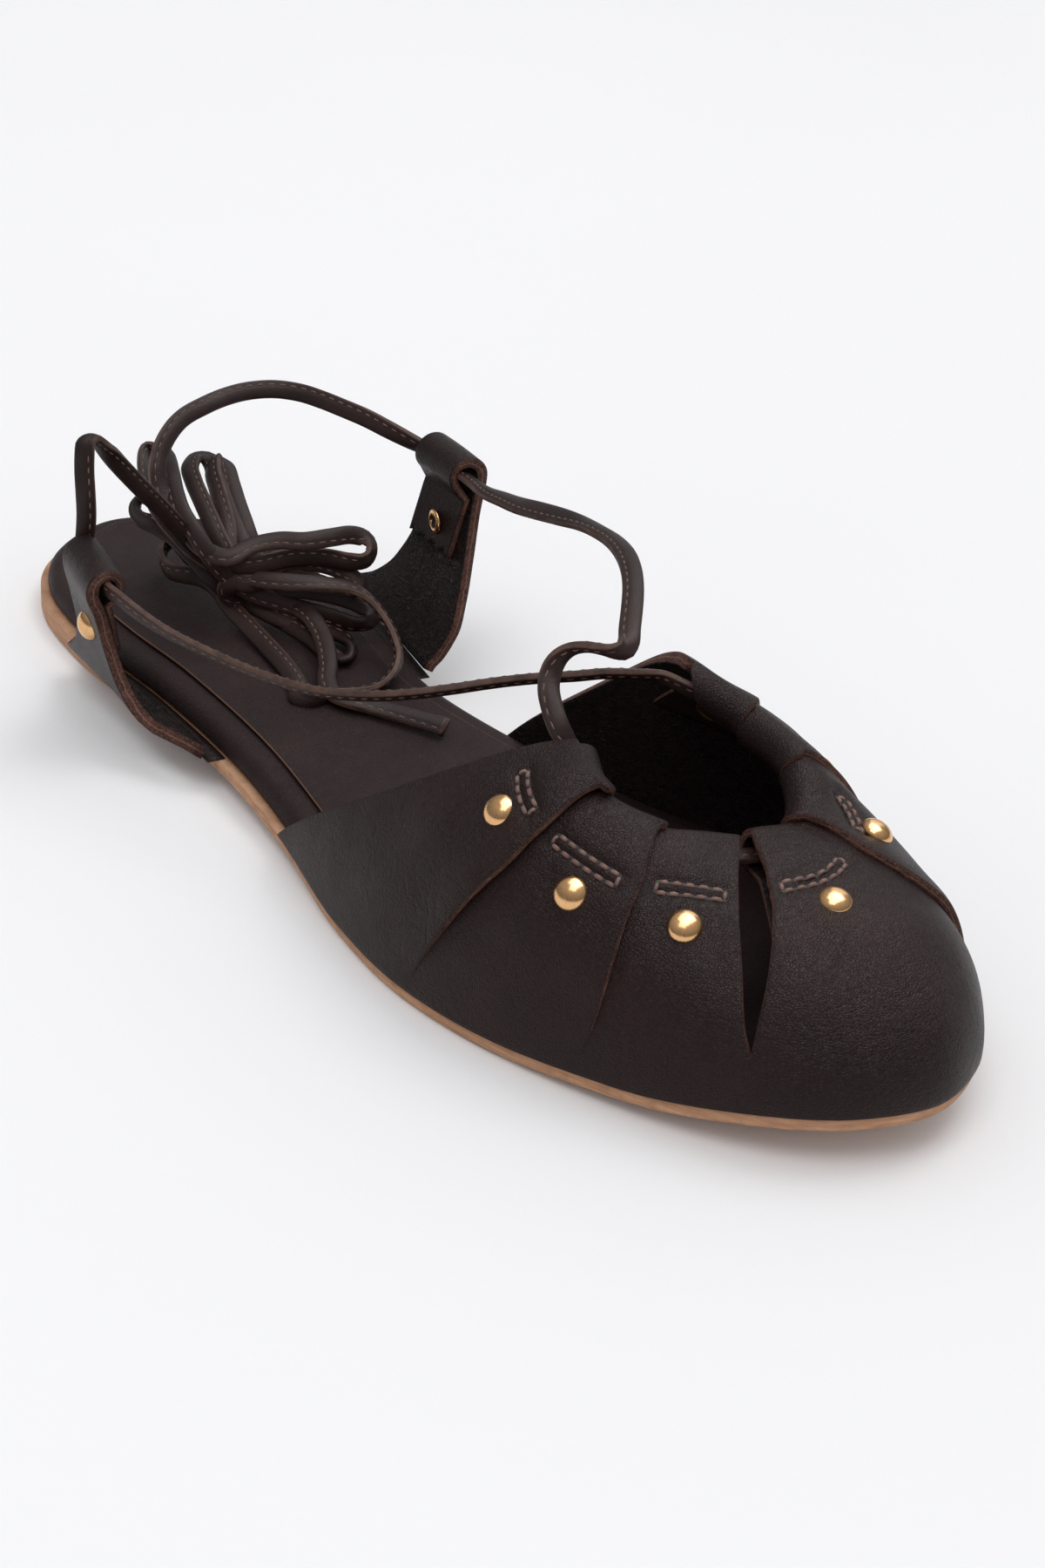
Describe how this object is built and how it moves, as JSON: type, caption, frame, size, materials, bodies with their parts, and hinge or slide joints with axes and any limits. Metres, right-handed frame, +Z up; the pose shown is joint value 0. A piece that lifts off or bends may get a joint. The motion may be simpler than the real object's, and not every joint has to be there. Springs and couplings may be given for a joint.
{
  "type": "lace-up sandal",
  "caption": "Flat right-foot sandal with a slit closed-toe upper whose folded tabs carry a leather lace, side wings with lace loops, a thin wrapped footbed and a flat sole.",
  "frame": {"origin": "on the floor, under the middle of the shoe's own box, the free lace left out", "axes": "+X towards the toe, +Y towards the inner side of the foot, +Z up"},
  "size_m": [0.2456, 0.0884, 0.0609],
  "materials": {
    "upper_leather": "dark brown smooth leather, semi-matte",
    "insole_leather": "dark reddish brown matte leather",
    "sole_leather": "tan sole leather with a burnished edge",
    "lace_leather": "dark brown flat leather lace",
    "rivet_metal": "satin pale gold"
  },
  "bodies": {
    "root": {"outsole": "sole_leather", "footbed": "insole_leather", "sock": "insole_leather", "upper": "upper_leather", "wing_lateral": "upper_leather", "wing_medial": "upper_leather", "lace": "lace_leather", "lace_tail_lateral": "lace_leather", "lace_tail_medial": "lace_leather", "lace_end": "lace_leather", "lace_hank": "lace_leather", "rivet_1": "rivet_metal", "rivet_2": "rivet_metal", "rivet_3": "rivet_metal", "rivet_4": "rivet_metal", "rivet_5": "rivet_metal", "rivet_6": "rivet_metal", "rivet_7": "rivet_metal", "rivet_lateral": "rivet_metal", "rivet_medial": "rivet_metal"}
  },
  "joints": []
}
